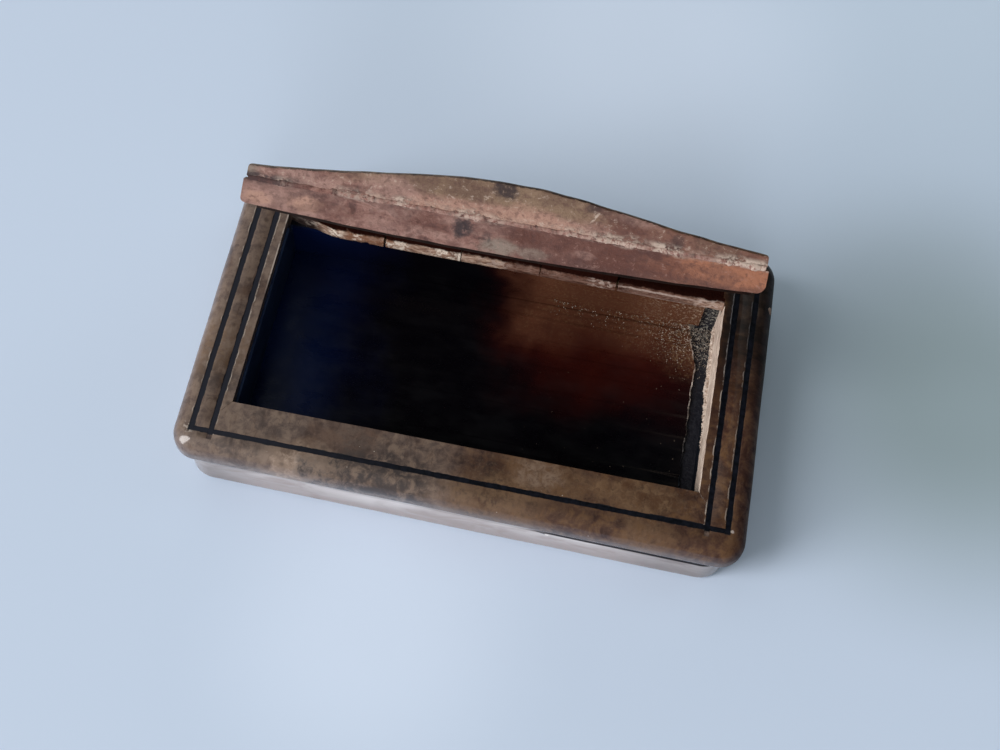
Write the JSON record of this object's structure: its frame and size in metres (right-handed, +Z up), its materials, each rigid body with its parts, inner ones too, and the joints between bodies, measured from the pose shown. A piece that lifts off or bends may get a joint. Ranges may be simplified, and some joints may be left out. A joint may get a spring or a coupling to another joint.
{
  "type": "snuff box",
  "caption": "Shallow rectangular wooden snuff box with bullnose rim, black stringing, dark lining and an arched lid on a wooden knuckle hinge.",
  "frame": {"origin": "middle of the flat underside, where the box stands", "axes": "+X along the box, +Y back towards the hinge, +Z up; the lid stands open at the pictured angle"},
  "size_m": [0.0824, 0.0504, 0.047],
  "materials": {
    "burr_wood": "French polished burr",
    "lid_wood": "worn polish, pinkish brown",
    "hinge_wood": "bare, worn",
    "black_stringing": "ebonised, polished over",
    "dark_lining": "thin dark horn or shell sheet, glossy",
    "pin_wire": "drawn wire, dull"
  },
  "bodies": {
    "box": {"body_block": "burr_wood", "top_frame": "burr_wood", "front_lipping": "burr_wood", "left_lipping": "burr_wood", "right_lipping": "burr_wood", "stringing_outer_left": "black_stringing", "stringing_outer_right": "black_stringing", "stringing_inner_left": "black_stringing", "stringing_inner_right": "black_stringing", "stringing_front": "black_stringing", "stringing_back": "black_stringing", "hinge_rail": "hinge_wood", "hinge_pin": "pin_wire", "pin_plug": "hinge_wood", "lining_floor": "dark_lining", "lining_left": "dark_lining", "lining_front": "dark_lining", "lining_back": "dark_lining"},
    "lid": {"lid_board": "lid_wood", "lid_crown": "lid_wood", "lid_lining": "dark_lining"}
  },
  "joints": [
    {"name": "lid_hinge", "type": "hinge", "parent": "box", "child": "lid", "pos_m": [0, 0.01575, 0.01075], "axis": [-1, 0, 0], "range_deg": [-57.5, 32.5]}
  ]
}
